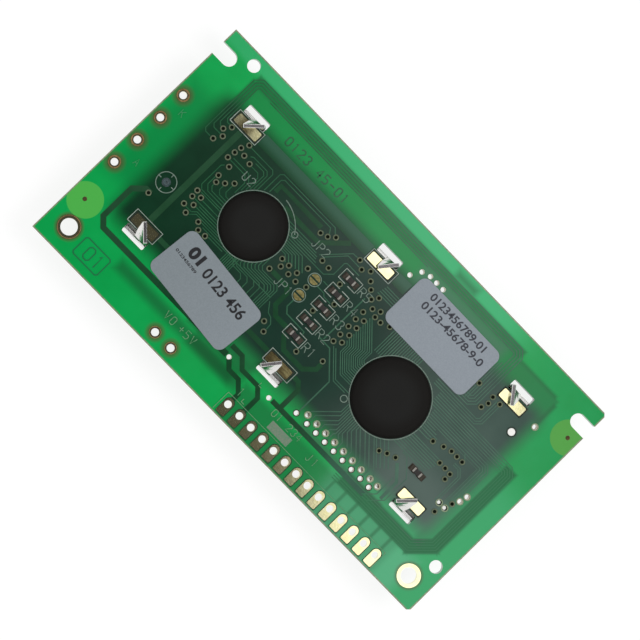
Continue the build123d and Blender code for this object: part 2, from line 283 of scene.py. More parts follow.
# Colour of the painted light through the bare laminate, a bright green glow
lit = blend_colours(tree, ramp_between(tree, axes[0], 18.0, 34.0),
                    shade(tree, cloud, (2, 152, 70), (6, 159, 76)),
                    shade(tree, cloud, (2, 144, 70), (6, 150, 78)))
# Painted sheen of the light above, over the painted glow of the lit laminate
upper_sheen = product(
    tree,
    ramp_between(tree, axes[1], 18.8, 20.4),
    ramp_between(tree, axes[0], -44.0, -20.0, 0.55, 1.0),
    ramp_between(tree, axes[0], 18.0, 30.0, 1.0, 0.0),
)
corner_sheen = product(tree, ramp_between(tree, axes[0], 12.0, 26.0),
                      ramp_between(tree, axes[1], -1.0, 7.0, 1.0, 0.0))
row_sheen = soft_box(tree, axes, 18.0, 37.5, -23.6, -15.5, 3.0, 0.75)
# Painted light dimmer along the left edge
side_strip = soft_box(tree, axes, -41.0, -34.0, -7.5, 12.0, 4.0)
# Painted shadows of copper and printing on the other side, where they block the painted light through the
# laminate
behind = [soft_box(tree, axes, *box) for box in (
    (-28.7, -2.1, -17.5, -15.5, 1.8), (-15.0, -2.0, -15.3, -12.4, 1.8), (9.4, 13.8, 19.9, 21.1, 1.8),
    (-34.2, 26.0, 17.9, 19.8, 0.7), (-34.6, -32.9, 12.0, 18.6, 0.7), (26.3, 34.4, 17.8, 18.4, 0.7),
    (34.8, 35.5, 13.0, 17.2, 0.7),
)]
behind.append(product(tree, soft_box(tree, axes, -1.5, 33.5, -22.6, -15.2, 1.6),
                      ramp_between(tree, axes[0], 14.0, 24.0, 0.8, 0.4)))
from_pin = from_repeat(tree, axes[0], 19.2, pin_pitch)
behind.append(product(tree, ramp_between(tree, from_pin, 0.0, 0.3, 1.0, 0.0),
                      soft_box(tree, axes, 18.0, 33.2, -18.8, -15.2, 2.2)))
# Painted shade: darker strips in the painted light near the upper edge, above the right label, along the open
# vias and at the lower middle
upper_band = product(tree, soft_box(tree, axes, -33.0, 35.2, 13.0, 18.0, 0.6),
                     ramp_between(tree, axes[0], -5.0, 15.0, 0.5, 0.7))
strip_over_label = soft_box(tree, axes, 5.0, 23.5, 14.5, 18.1, 2.0, 0.6)
row_strip = soft_box(tree, axes, 9.0, 27.0, -14.3, -13.2, 0.8, 0.6)
under_label = soft_box(tree, axes, -12.5, -3.5, -17.6, -15.0, 1.8, 0.5)
# Painted shade where bundles of tracks block the painted light
turned_axes = [along(tree, place, (slanting, side, 0.0)) for side in (slanting, -slanting)]
bands = largest(tree, [
    soft_box(tree, axes, 36.4, 38.8, -12.6, 5.2, 0.7),
    soft_box(tree, axes, 19.5, 35.4, -15.9, -13.35, 0.7),
    soft_box(tree, turned_axes, 13.2, 18.9, 33.7, 36.2, 0.7),
    soft_box(tree, axes, 34.2, 36.8, -13.5, 4.5, 1.2, 0.4),
])
# Painted shade: plating in the holes keeps the light from the laminate close round them
hole_shades = [soft_disc(tree, place, backlight_x, y, 1.6, 1.0) for y in backlight_ys]
hole_shades += [soft_disc(tree, place, x, supply_y, 1.45, 0.8) for x in supply_xs]
hole_shades += [soft_disc(tree, place, x, eyelet_y, 2.25, 0.6) for x in eyelet_xs]
# The painted sheen and painted shade above, blended into the painted light one by one
for factor, tint in (
    (upper_sheen, (54, 172, 110)),
    (corner_sheen, (44, 159, 97)),
    (row_sheen, (82, 172, 126)),
    (side_strip, (1, 134, 64)),
    (product(tree, largest(tree, behind), 0.7), (16, 88, 48)),
    (upper_band, (20, 104, 56)),
    (strip_over_label, (68, 107, 88)),
    (row_strip, (54, 92, 72)),
    (under_label, (4, 60, 30)),
    (product(tree, bands, 0.85), (2, 88, 46)),
    (product(tree, largest(tree, hole_shades), 0.55), (85, 53, 43)),
):
    lit = blend_colours(tree, factor, lit, paint(*tint))
colour = blend_colours(tree, bezel_shade, lit, dark)
# The bare discs are painted bright green, the painted light through bare laminate
discs = largest(tree, [soft_disc(tree, place, x, y, 2.9, 0.12) for x, y in bare_discs])
disc_colour = shade(tree, ramp_between(tree, axes[0], -34.0, 34.0), (76, 174, 74), (76, 156, 62))
colour = blend_colours(tree, discs, colour, disc_colour)
inside_edge = soft_box(tree, axes, -edge_x, edge_x, -edge_y, edge_y, 0.12)
cut_laminate = shade(tree, mottle(tree, place, 3.0), (104, 122, 96), (150, 150, 122))
set_colour(tree, shader, blend_colours(tree, inside_edge, cut_laminate, colour))
weave = add(tree, "ShaderNodeTexNoise", {"Vector": place, "Scale": 1.6, "Detail": 2.0}).outputs["Fac"]
rough_surface(tree, shader, weave, 0.0012)
dress(mask, "circuit_board")

# Tracks: copper under the solder mask, which stands up over them and looks greyer there. Each is
# a flat strip that follows its own path over the board, wide for supply and fine for signals.
# Their places are mm from a point just outside the board's lower left corner.
corner_x, corner_y = -42.15, -22.1
copper_tall = 0.05
side_slope = -1.2
hair, most_hairs = 0.0002, 60
# Middle and radius of the ring printed round each epoxy cap, and small steps towards them
left_cap, right_cap = (23.95, 24.7, 5.6), (58.15, 21.5, 6.6)
pace = 0.05
leftward, rightward, downward, upward = (-pace, 0), (pace, 0), (0, -pace), (0, pace)


def spot(u, v, z=0.0):
    """A place on the board's back in the frame's metres, z in mm above the mask."""
    return Vector(((u + corner_x) / 1000, (v + corner_y) / 1000, (board_top + z) / 1000))


def beside(path, offset):
    """The path moved sideways by offset, with its corners kept sharp."""
    points = [Vector(p) for p in path]
    normals = []
    for a, b in zip(points, points[1:]):
        ahead = (b - a).normalized()
        normals.append(Vector((-ahead.y, ahead.x)))
    moved = []
    for i, p in enumerate(points):
        first, last = normals[max(i - 1, 0)], normals[min(i, len(normals) - 1)]
        middle = (first + last).normalized()
        moved.append(tuple(p + middle * (offset / max(middle.dot(first), 0.4))))
    return moved


def bundle(path, count, pitch):
    """Parallel paths at one pitch, the first on the path itself and the rest to its left."""
    return [beside(path, k * pitch) for k in range(count)]


def shape_tree(name, given, lengths, counts, made):
    """A geometry tree with its named inputs: geometry, lengths, counts and finish."""
    tree = bpy.data.node_groups.new(name, "GeometryNodeTree")
    tree.interface.new_socket(given, in_out="INPUT", socket_type="NodeSocketGeometry")
    for length in lengths:
        tree.interface.new_socket(length, in_out="INPUT", socket_type="NodeSocketFloat")
    for count in counts:
        tree.interface.new_socket(count, in_out="INPUT", socket_type="NodeSocketInt")
    tree.interface.new_socket("Finish", in_out="INPUT", socket_type="NodeSocketMaterial")
    tree.interface.new_socket(made, in_out="OUTPUT", socket_type="NodeSocketGeometry")
    return tree, add(tree, "NodeGroupInput").outputs


def sloped_section(tree, height, bottom, top):
    """Geometry nodes: a low section with sloping sides."""
    sizes = {"Height": height, "Bottom Width": bottom, "Top Width": top, "Offset": 0.0}
    return add(tree, "GeometryNodeCurvePrimitiveQuadrilateral", sizes, mode="TRAPEZOID").outputs[0]


def end_tree(tree, shape, finish, made):
    """Geometry nodes: makes the shape plain geometry and gives it its finish."""
    whole = add(tree, "GeometryNodeRealizeInstances", {0: shape})
    done = add(tree, "GeometryNodeSetMaterial", {"Geometry": whole.outputs[0], "Material": finish})
    add(tree, "NodeGroupOutput", {made: done.outputs[0]})


def strip_tree():
    """Geometry nodes: sweeps a low strip with sloping sides along every path."""
    tree, given = shape_tree("laid_strip", "Paths", ("Width", "Height"), (), "Strips")
    top = calculate(tree, "MULTIPLY_ADD", given["Height"], side_slope, given["Width"])
    section = sloped_section(tree, given["Height"], given["Width"], top)
    level = add(tree, "GeometryNodeSetCurveNormal", {"Curve": given["Paths"]}, mode="Z_UP")
    parts = {"Curve": level.outputs[0], "Profile Curve": section, "Fill Caps": True}
    swept = add(tree, "GeometryNodeCurveToMesh", parts)
    flat = add(tree, "GeometryNodeSetShadeSmooth", {0: swept.outputs[0], "Shade Smooth": False})
    end_tree(tree, flat.outputs[0], given["Finish"], "Strips")
    return tree


def placed(name, data):
    """A new object with this data, in the scene."""
    holder = bpy.data.objects.new(name, data)
    bpy.context.scene.collection.objects.link(holder)
    return holder


def plain_mesh(holder):
    """The finished mesh of an object, which is then removed."""
    bpy.context.view_layer.update()
    shaped = holder.evaluated_get(bpy.context.evaluated_depsgraph_get())
    mesh = bpy.data.meshes.new_from_object(shaped)
    bpy.data.objects.remove(holder)
    return mesh


def baked(holder, tree, inputs):
    """Runs a geometry tree on an object with these inputs and returns the plain mesh."""
    shaper = holder.modifiers.new("shape", "NODES")
    shaper.node_group = tree
    for item in tree.interface.items_tree:
        if item.in_out == "INPUT" and item.name in inputs:
            shaper[item.identifier] = inputs[item.name]
    return plain_mesh(holder)


def fit(name, mesh):
    """Fixes a finished piece to the module."""
    piece = placed(name, mesh)
    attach(piece, "root")


def lay(name, paths, material, width, height=copper_tall, level=0.0):
    """Lays strips along paths; each lies a hair higher than the last, so crossing ones share no face."""
    curve = bpy.data.curves.new(name, "CURVE")
    curve.dimensions = "3D"
    for path in paths:
        line = curve.splines.new("POLY")
        line.points.add(len(path) - 1)
        rise = hair * (len(curve.splines) % most_hairs)
        for point, (u, v) in zip(line.points, path):
            point.co = (*spot(u, v, level + rise), 1.0)
        if (Vector(path[0]) - Vector(path[-1])).length < 1e-6:
            line.points[-1].co = line.points[0].co
    sizes = {"Width": width / 1000, "Height": height / 1000, "Finish": material}
    fit(name, baked(placed(name + "_paths", curve), laid_strip, sizes))


laid_strip = strip_tree()
track_mask, tree, shader, place, axes = new_mask("mask_over_copper")
cloud = mottle(tree, place, 0.5)
# Paler and greyer towards the right, painted sheen, and greener past the bezel, painted light through the
# laminate
colour = blend_colours(tree, ramp_between(tree, axes[0], -34.0, 34.0),
                       shade(tree, cloud, (28, 80, 51), (40, 94, 61)),
                       shade(tree, cloud, (50, 90, 72), (62, 102, 82)))
past_bezel = largest(tree, [ramp_between(tree, axes[0], 35.0, 36.4),
                            ramp_between(tree, axes[1], -14.2, -13.2, 1.0, 0.0)])
set_colour(tree, shader, blend_colours(tree, past_bezel, colour, paint(30, 110, 68)))


def to_cap(place, step, cap):
    """Walks from a place in small steps until it meets the ring round an epoxy cap."""
    u, v = place
    for _ in range(300):
        if math.hypot(u - cap[0], v - cap[1]) <= cap[2]:
            break
        u, v = u + step[0], v + step[1]
    return u, v


# Strokes of each character on a grid 4 wide and 6 tall
glyphs = {
    "0": [[(1, 0), (3, 0), (4, 1), (4, 5), (3, 6), (1, 6), (0, 5), (0, 1), (1, 0)]],
    "1": [[(1, 5), (2, 6), (2, 0)]],
    "2": [[(0, 5), (1, 6), (3, 6), (4, 5), (4, 4), (0, 0), (4, 0)]],
    "3": [[(0, 5), (1, 6), (3, 6), (4, 5), (4, 4), (3, 3), (4, 2), (4, 1), (3, 0), (1, 0), (0, 1)]],
    "4": [[(3, 0), (3, 6), (0, 2), (4, 2)]],
    "5": [[(4, 6), (0, 6), (0, 3.4), (3, 3.4), (4, 2.6), (4, 1), (3, 0), (0, 0)]],
    "R": [[(0, 0), (0, 6), (3, 6), (4, 5), (4, 4), (3, 3), (0, 3)], [(2, 3), (4, 0)]],
    "U": [[(0, 6), (0, 1), (1, 0), (3, 0), (4, 1), (4, 6)]],
    "J": [[(0, 1), (1, 0), (2, 0), (3, 1), (3, 6)]],
    "P": [[(0, 0), (0, 6), (3, 6), (4, 5), (4, 4), (3, 3), (0, 3)]],
    "K": [[(0, 0), (0, 6)], [(4, 6), (0, 2.6)], [(1.4, 3.6), (4, 0)]],
    "A": [[(0, 0), (2, 6), (4, 0)], [(0.8, 2.2), (3.2, 2.2)]],
    "V": [[(0, 6), (2, 0), (4, 6)]],
    "+": [[(0, 3), (4, 3)], [(2, 1), (2, 5)]],
    "-": [[(0, 3), (4, 3)]],
}


def letter(text, u, v, tall, step=0.95):
    """Strokes of a printed word whose lower left corner is at (u, v)."""
    size = tall / 6
    narrow = size * 0.85
    paths = []
    for k, character in enumerate(text):
        for stroke in glyphs.get(character, []):
            paths.append([(u + k * step * tall + narrow * a, v + size * b) for a, b in stroke])
    return paths


line_pitch, loop_pitch = 0.42, 0.46
cut_corner = 0.45
fine = []
# The loop round the upper edge, from four vias at the left
loop = [(7.75, 30.1), (7.75, 40.65), (8.85, 41.75), (67.3, 41.75), (68.4, 40.65), (68.4, 30.5), (67.3, 29.4),
        (60.5, 29.4)]
for k, (end_u, end_v) in enumerate(((9.2, 29.65), (10.2, 31.0), (9.35, 31.95), (10.2, 33.05))):
    lane = beside(loop, -loop_pitch * k)
    lane[0] = (lane[0][0], end_v + cut_corner)
    fine.append([(end_u, end_v), (lane[0][0] + cut_corner, end_v)] + lane)
fine += [[(12.0, 39.95), (47.6, 39.95)], [(66.55, 38.0), (66.55, 30.2)], [(66.2, 37.5), (66.2, 30.0)]]
for k in range(5):
    level = 31.5 + line_pitch * k
    fine.append([(44.9 + 0.1 * k, level), (48.4, level)])
# Lines to the right of the right cap
fine += bundle([(61.2, 28.03), (70.3, 28.03), (71.2, 28.93), (71.2, 33.1)], 3, line_pitch)
outermost = [(63.0, 27.6), (79.55, 27.6), (80.75, 26.4), (80.75, 9.7), (77.3, 6.25), (60.5, 6.25)]
fine += bundle(outermost, 6, -line_pitch)
inner = [(64.3, 25.08), (76.5, 25.08), (77.45, 24.13), (77.45, 20.0)]
for k, low in enumerate((20.0, 18.6, 17.2, 16.3, 16.2)):
    lane = beside(inner, -line_pitch * k)
    fine.append(lane[:-1] + [(lane[-1][0], low)])
fine += bundle([(72.6, 21.2), (73.7, 21.2), (74.5, 20.4), (74.5, 15.3)], 2, 0.36)
for k in range(8):
    level = 17.25 + line_pitch * k
    fine.append([to_cap((64.9, level), leftward, right_cap), (70.1 + 0.16 * k, level)])
for k in range(3):
    level = 22.98 - line_pitch * k
    fine.append([(64.8, level), (66.8 + 0.6 * k, level)])
fine += [[(64.8, 21.75), (67.3, 21.7)], [(64.8, 21.2), (66.7, 21.2), (67.4, 21.4)],
         [(73.5, 22.9), (72.7, 23.7)], [(65.6, 16.95), (66.5, 16.95), (69.0, 14.4), (69.0, 9.6), (66.9, 7.5)],
         [(67.4, 13.0), (67.4, 9.4), (65.7, 7.7)]]
# Lines down to the right cap, and the nest of lines to its left
for k in range(17):
    u = 51.05 + 0.4 * k
    fine.append([(u, 29.3), to_cap((u, 28.5), downward, right_cap) if u > 51.9 else (u, 24.8)])
for k in range(12):
    start, lane, level = 28.3 - 0.5 * k, 51.0 - 0.32 * k, 22.3 - 0.36 * k
    drop = lane - 46.95
    turn = 0.3 + 0.2 * k
    fine.append([(46.95, start), (lane, start - drop), (lane, level + turn), (lane + turn, level),
                 to_cap((lane + turn + 0.1, level), rightward, right_cap)])
fine += [[(46.1, 20.7), (49.95, 16.85), (52.5, 16.85)], [(46.6, 20.7), (50.05, 17.25), (53.0, 17.25)]]
# Lines from the two rows of open vias up to the right cap
lower_ends = (50.98, 51.87, 52.98, 53.88, 54.98, 55.86, 56.98, 57.88, 58.98, 59.9, 60.98, 61.87, 62.98,
              63.87, 64.98)
for k, u in enumerate(lower_ends, start=1):
    lane = 53.9 + 0.37 * k
    low = 10.85 if k % 2 else 9.8
    side = 1 if lane > u else -1
    shift = abs(lane - u)
    bend = to_cap((u, 11.1), (side * pace, pace), right_cap)
    if abs(bend[0] - u) > shift:
        bend = (lane, 11.1 + shift)
        fine.append([(u, low), (u, 11.1), bend, to_cap(bend, upward, right_cap)])
    else:
        fine.append([(u, low), (u, 11.1), bend])
for k in range(4):
    low = (64.4 + 0.5 * k, 12.2 + 0.4 * k)
    fine.append([low, to_cap(low, (-pace, pace), right_cap)])
# Lines to the left cap from the vias at its left
left_lines = [
    [(16.2, 25.7), (16.2, 24.9), (16.8, 24.3)], [(15.0, 24.9), (15.0, 24.4), (15.55, 23.85)],
    [(14.3, 25.9), (14.3, 24.2), (15.1, 23.4)], [(14.0, 28.1), (13.65, 27.7), (13.65, 23.5), (14.25, 22.9)],
    [(14.5, 22.55)], [(15.6, 21.75)], [(14.5, 21.15)], [(15.9, 20.75)], [(15.6, 20.35)],
    [(14.4, 19.3), (15.6, 19.3), (16.25, 19.95)], [(15.5, 18.65), (16.45, 19.6)], [(17.9, 19.25)],
    [(18.6, 18.85)],
]
for path in left_lines:
    fine.append(path + [to_cap((path[-1][0] + 0.1, path[-1][1]), rightward, left_cap)])
fine += [[(17.2, 26.7), (17.2, 25.3), (17.7, 24.8), (18.3, 24.8)], [(20.3, 18.45), (23.4, 18.45)]]
fine += [[(15.0, 32.95), (19.8, 32.95), (20.3, 32.45), (20.3, 29.0)],
         [(15.9, 31.9), (16.3, 32.2), (19.3, 32.2), (19.85, 31.65), (19.85, 28.7)],
         [(17.2, 31.75), (19.0, 31.75), (19.45, 31.3), (19.45, 28.3)],
         [(17.1, 30.95), (18.5, 30.95), (19.05, 30.4), (19.05, 27.8)],
         [(14.2, 29.85), (17.6, 29.85), (18.6, 28.85), (18.6, 27.2)],
         [(14.0, 29.3), (17.3, 29.3), (18.2, 28.4), (18.2, 26.2)]]
fine += [[(21.1, 29.8), (21.1, 33.3), (21.55, 33.75), (33.0, 33.75), (33.8, 33.0)],
         [(21.85, 30.2), (21.85, 32.8), (22.25, 33.2), (32.5, 33.2), (33.1, 32.4)]]
# Lines that leave the left cap to the right, above and below
for k in range(6):
    level = 26.95 - 0.34 * k
    reach = 32.6 - 0.42 * k
    slant = 1.9 - 0.2 * k
    fine.append([to_cap((30.5, level), leftward, left_cap), (reach, level), (reach + slant, level - slant)])
for level, reach in ((29.3, 32.2), (28.85, 33.8), (28.5, 34.3), (28.15, 34.4), (27.75, 34.8)):
    fine.append([to_cap((30.5, level), leftward, left_cap), (reach, level)])
fine += [[(29.2, 27.35), (36.9, 27.35), (38.05, 28.5), (38.05, 30.9), (38.35, 31.2), (41.0, 31.2)],
         [(34.3, 29.0), (37.9, 32.95), (38.8, 33.0)], [(34.9, 29.1), (37.6, 32.15), (40.1, 32.15)],
         [(37.7, 26.6), (38.7, 26.6)], [(37.6, 25.35), (39.1, 25.35), (39.5, 24.95), (41.0, 24.9)],
         [(34.1, 18.4), (35.2, 17.0), (36.0, 16.75), (36.75, 16.0), (36.85, 15.0)]]
for k, far in enumerate((33.7, 33.35, 33.0, 32.65, 32.25, 31.5, 30.65, 29.5, 28.4)):
    near, level = 29.35 - 0.46 * k, 20.95 - 0.35 * k
    fine.append([to_cap((near, 19.0), upward, left_cap), (near, level + cut_corner),
                 (near + cut_corner, level), (far - 0.6, level), (far, level - 0.6), (far, 16.4)])
for k in range(7):
    u = 24.1 + 0.34 * k
    fine.append([to_cap((u, 18.0), upward, left_cap), (u, 16.8)])
lay("signal_tracks", fine, track_mask, width=0.15)

medium = [
    [(36.55, 21.2), (36.55, 19.8), (37.35, 18.95), (41.3, 18.9), (41.4, 18.3)],
    [(49.6, 9.7), (49.6, 16.3), (45.9, 20.0), (43.6, 20.05)],
    [(44.2, 20.3), (44.2, 29.4)],
]
lay("link_tracks", medium, track_mask, width=0.22, level=0.004)

wide = [
    [(34.9, 9.4), (37.2, 9.4), (38.75, 7.85), (42.25, 7.85), (43.6, 6.5), (43.6, 3.5)],
    [(36.15, 7.55), (37.3, 6.4), (39.4, 6.4), (41.05, 4.75), (41.05, 3.5)],
    [(45.45, 7.85), (66.0, 7.85)],
    [(45.2, 12.85), (46.2, 12.85), (47.15, 11.9), (47.15, 8.1)],
    [(39.5, 16.6), (39.5, 16.2), (41.05, 14.65), (45.2, 14.65), (46.8, 16.2), (46.8, 17.3)],
    [(31.0, 21.95), (34.3, 21.95), (35.1, 21.15), (35.1, 18.7), (36.35, 17.45), (38.8, 17.45)],
    [(15.1, 12.8), (39.4, 12.8)],
    [(22.5, 30.9), (22.5, 32.2), (31.5, 32.2)],
    [(25.2, 30.25), (32.9, 30.25), (36.5, 33.85)],
]
wide_mask, tree, shader, place, axes = new_mask("mask_over_wide_copper")
cloud = mottle(tree, place, 0.5)
# Painted light and sheen: paler at the left, darkest in the middle and greyer at the right
to_middle = blend_colours(tree, ramp_between(tree, axes[0], -32.0, -16.0),
                          shade(tree, cloud, (28, 68, 42), (34, 73, 48)),
                          shade(tree, cloud, (5, 57, 28), (11, 67, 36)))
colour = blend_colours(tree, ramp_between(tree, axes[0], 8.0, 20.0),
                       to_middle, shade(tree, cloud, (26, 78, 56), (34, 84, 62)))
set_colour(tree, shader, colour)
lay("supply_tracks", wide, wide_mask, width=0.84, level=0.008)
branch = [(66.2, 15.1), (68.3, 12.9), (68.35, 9.3)]
lay("branch_tracks", [branch], track_mask, width=0.55, level=0.006)
broad = [[(12.1, 33.4), (12.1, 13.8)],
         [(9.2, 16.75), (8.2, 16.75), (6.6, 15.2), (6.6, 9.1), (7.9, 7.82), (35.35, 7.82)]]
lay("ground_tracks", broad, wide_mask, width=1.0, level=0.006)
# Figures left in the copper: a short row of numbers near the upper edge and a boxed number at
# the lower left corner
copper_figures = letter("0123 45-01", 18.0, 37.2, 1.45, 0.95)
copper_figures += letter("01", 8.7, 2.3, 2.2, 0.85)
copper_figures.append([(7.5, 1.7), (12.2, 1.7), (12.5, 2.0), (12.5, 4.8), (12.2, 5.1), (7.5, 5.1), (7.2, 4.8),
                       (7.2, 2.0), (7.5, 1.7)])
lay("copper_figures", copper_figures, track_mask, width=0.25, height=0.04)

# Copper areas: broad pours under the mask beside the upper tab slots, cut back from every bare land. They are
# painted darker over the bezel, the bezel's painted shade, and paler past its edge, painted light.
area_mask, tree, shader, place, axes = new_mask("mask_over_area")
set_colour(tree, shader, shade(tree, ramp_between(tree, axes[1], 11.8, 13.5), (8, 60, 32), (42, 85, 64)))
areas = [[(15.2, 35.1), (39.4, 35.1)], [(45.3, 35.1), (47.9, 35.1)]]
lay("ground_areas", areas, area_mask, width=2.1, level=0.006)

# Vias: small plated holes that join the two sides. Most are closed by solder mask, with a raised ring and a
# dark middle, a flat disc of painted shade for the hollow.


def via_tree():
    """Geometry nodes: sets a ring on each point; without an inner radius it is a filled disc."""
    lengths = ("Outer Radius", "Inner Radius", "Height")
    tree, given = shape_tree("set_rings", "Places", lengths, ("Sides",), "Rings")
    outer, inner = given["Outer Radius"], given["Inner Radius"]
    middle = calculate(tree, "MULTIPLY", calculate(tree, "ADD", outer, inner), 0.5)
    width = calculate(tree, "SUBTRACT", outer, inner)
    section = sloped_section(tree, given["Height"], width, calculate(tree, "MULTIPLY", width, 0.5))
    ring = add(tree, "GeometryNodeCurvePrimitiveCircle", {"Resolution": given["Sides"], "Radius": middle})
    swept = add(tree, "GeometryNodeCurveToMesh", {"Curve": ring.outputs[0], "Profile Curve": section})
    smooth = add(tree, "GeometryNodeSetShadeSmooth", {0: swept.outputs[0], "Shade Smooth": True})
    parts = {"Points": given["Places"], "Instance": smooth.outputs[0]}
    spread = add(tree, "GeometryNodeInstanceOnPoints", parts)
    end_tree(tree, spread.outputs[0], given["Finish"], "Rings")
    return tree


def set_rings(name, places, material, outer, inner, height, sides, level):
    """Sets one ring at every place, the middle of its height level mm above the mask."""
    points = bpy.data.meshes.new(name + "_places")
    points.from_pydata([spot(u, v, level) for u, v in places], [], [])
    sizes = {"Outer Radius": outer / 1000, "Inner Radius": inner / 1000, "Height": height / 1000,
             "Sides": sides, "Finish": material}
    fit(name, baked(placed(name + "_places", points), set_ring, sizes))


set_ring = via_tree()
closed_vias = [
    (10.6, 33.0), (9.8, 31.9), (10.6, 31.0), (9.8, 29.7), (14.5, 33.0), (13.9, 31.8), (15.1, 31.3),
    (16.6, 31.0), (13.7, 30.6), (13.5, 29.3), (14.7, 28.4), (17.15, 27.2), (14.5, 26.3), (16.1, 26.15),
    (15.0, 25.3),
    (13.9, 22.3), (15.1, 21.9), (14.0, 21.1), (15.1, 20.3), (13.9, 19.4), (15.1, 18.6), (17.5, 19.0),
    (18.4, 18.1), (19.8, 18.2), (8.9, 16.6), (34.2, 32.75), (33.2, 31.9), (32.0, 31.5), (39.35, 33.0),
    (40.6, 32.15), (41.8, 33.0), (42.9, 31.9), (43.9, 31.0), (45.7, 31.0), (45.0, 30.0), (47.4, 29.7),
    (46.2, 29.1), (47.4, 28.5), (48.6, 28.5), (50.1, 29.1), (35.3, 28.7), (36.8, 28.6), (34.6, 26.2),
    (30.7, 24.4), (32.2, 24.4), (33.9, 24.5), (31.4, 23.4), (33.1, 23.4), (34.7, 23.4), (36.5, 24.0),
    (30.4, 21.9), (39.85, 28.1), (41.5, 25.3), (39.85, 22.2), (45.5, 27.7), (46.6, 26.8), (45.5, 26.1),
    (46.6, 25.2), (45.5, 24.5), (46.6, 23.6), (45.5, 22.7), (46.6, 22.0), (45.5, 21.2), (46.6, 17.8),
    (42.6, 15.9), (35.7, 15.6), (36.8, 14.4), (66.3, 33.1), (69.4, 33.1), (71.0, 33.1), (69.6, 31.9),
    (69.2, 30.7), (67.7, 21.5), (69.5, 22.1), (70.9, 22.5), (72.1, 22.5), (73.3, 22.5), (70.9, 19.9),
    (72.1, 19.9), (73.3, 19.8), (73.3, 18.7), (62.8, 14.4), (64.0, 15.0), (65.4, 15.5), (76.9, 16.8),
    (75.8, 14.0),
]
ring_mask = clouded_finish("mask_over_via", 1.5, (78, 92, 66), (102, 112, 82), Roughness=0.2, IOR=1.62)
# Painted shade: a flat dark disc stands for the hollow of each via
painted_via_shade = clouded_finish("via_hollow", 2.0, (5, 12, 3), (12, 22, 8), Roughness=0.6, Specular_IOR_Level=0.1)
set_rings("via_rings", closed_vias, ring_mask, outer=0.5, inner=0.28, height=0.06, sides=14, level=0.025)
set_rings("via_hollows", closed_vias, painted_via_shade, outer=0.31, inner=0.0, height=0.03, sides=10, level=0.03)

# Open vias: drilled through and plated, so a barrel stands in each hole, its plating painted pale and less
# metallic, partly painted light for the brightness seen through the holes. The mask is cut back round some of
# them and leaves a bare rim. A dark gap runs round the spacer frame's peg.
inner_row = [(50.98 + 2.0 * k, 10.3) for k in range(8)] + [(66.65, 10.3)]
outer_row = [(49.5, 9.23)] + [(51.87 + 2.0 * k, 9.23) for k in range(7)] + [(65.79, 9.23)]
upper_group = [(46.5, 37.05), (47.5, 38.75), (48.95, 39.2), (50.35, 39.2), (51.8, 39.2)]
right_group = [(77.5, 17.95), (77.8, 19.25), (77.45, 34.6)]
pip_pair = [(75.3, 15.5), (76.55, 15.5)]
# Partly plating colour, partly painted light: paler and less metallic than tin
plating = clouded_finish("via_plating", 1.5, (222, 216, 198), (240, 236, 222), Metallic=0.2, Roughness=0.3)
open_vias = inner_row + outer_row + upper_group + right_group + [(35.9, 7.8), (44.8, 7.8)]
set_rings("via_barrels", open_vias, plating, outer=0.424, inner=0.395, height=1.6, sides=16, level=-0.8)
rim_mask = clouded_finish("bare_rim", 1.5, (128, 146, 112), (152, 166, 132), Roughness=0.25, IOR=1.62)
set_rings("bare_rims", inner_row + right_group + pip_pair, rim_mask, outer=0.6, inner=0.43, height=0.05,
          sides=18, level=0.02)
gap_mask = clouded_finish("bare_gap", 1.5, (26, 46, 34), (38, 62, 48), Roughness=0.4)
set_rings("peg_gap", [(75.42, 31.4)], gap_mask, outer=0.84, inner=0.66, height=0.03, sides=28, level=0.01)

# Marks: two bare discs near opposite corners, each with a small drilled dot, and one round mark
# with a bluish middle.
mark_tall = 0.02
round_u, round_v = 9.65, 19.7
dot = clouded_finish("drilled_dot", 2.0, (74, 62, 20), (112, 84, 44), Roughness=0.5)
set_rings("drilled_dots", [(2.75, 8.85), (82.35, 37.15)], dot, outer=0.36, inner=0.0, height=mark_tall,
          sides=18, level=0.005)
blue = clouded_finish("round_mark", 1.0, (62, 84, 84), (84, 104, 110), Roughness=0.2, IOR=1.62)
set_rings("round_mark", [(round_u, round_v)], blue, outer=0.72, inner=0.0, height=mark_tall, sides=24,
          level=0.005)

# Plated contacts: copper plated through the holes with a land on both sides, all under thin gold. One of the
# lands that the tabs bear on and part of another are painted dull brown, the painted shade and dark
# reflection of the tabs over them; brown tarnish covers the jumpers.
rim_tall = 0.02
gold, tree, shader, place = new_finish("gold_plating", Metallic=1.0, Roughness=0.05)
axes = split(tree, place)
clean = shade(tree, mottle(tree, place, 1.1), (244, 236, 178), (250, 244, 196))
streaks = stretch(tree, place, (0.5, 2.0, 1.0))
dull = shade(tree, mottle(tree, streaks, 1.4), (112, 96, 62), (168, 158, 112))
# Painted shade and dark reflection of the tabs over two of the lands
tab_shade = largest(tree, [soft_box(tree, axes, -3.0, 3.2, -11.0, -8.0, 0.5),
                         soft_box(tree, axes, -31.3, -28.9, 11.0, 14.5, 1.4, 0.85)])
set_colour(tree, shader, blend_colours(tree, tab_shade, clean, dull))
dents = add(tree, "ShaderNodeTexNoise", {"Vector": place, "Scale": 2.0}).outputs["Fac"]
rough_surface(tree, shader, dents, 0.0008)
dress(gold, "j1_contacts", "mounting_eyelets", "backlight_contacts", "supply_contacts", "ground_pads")
old_gold = clouded_finish("tarnished_gold", 1.6, (112, 104, 60), (168, 158, 104), Metallic=0.6, Roughness=0.4)
dress(old_gold, "jumper_1", "jumper_2")
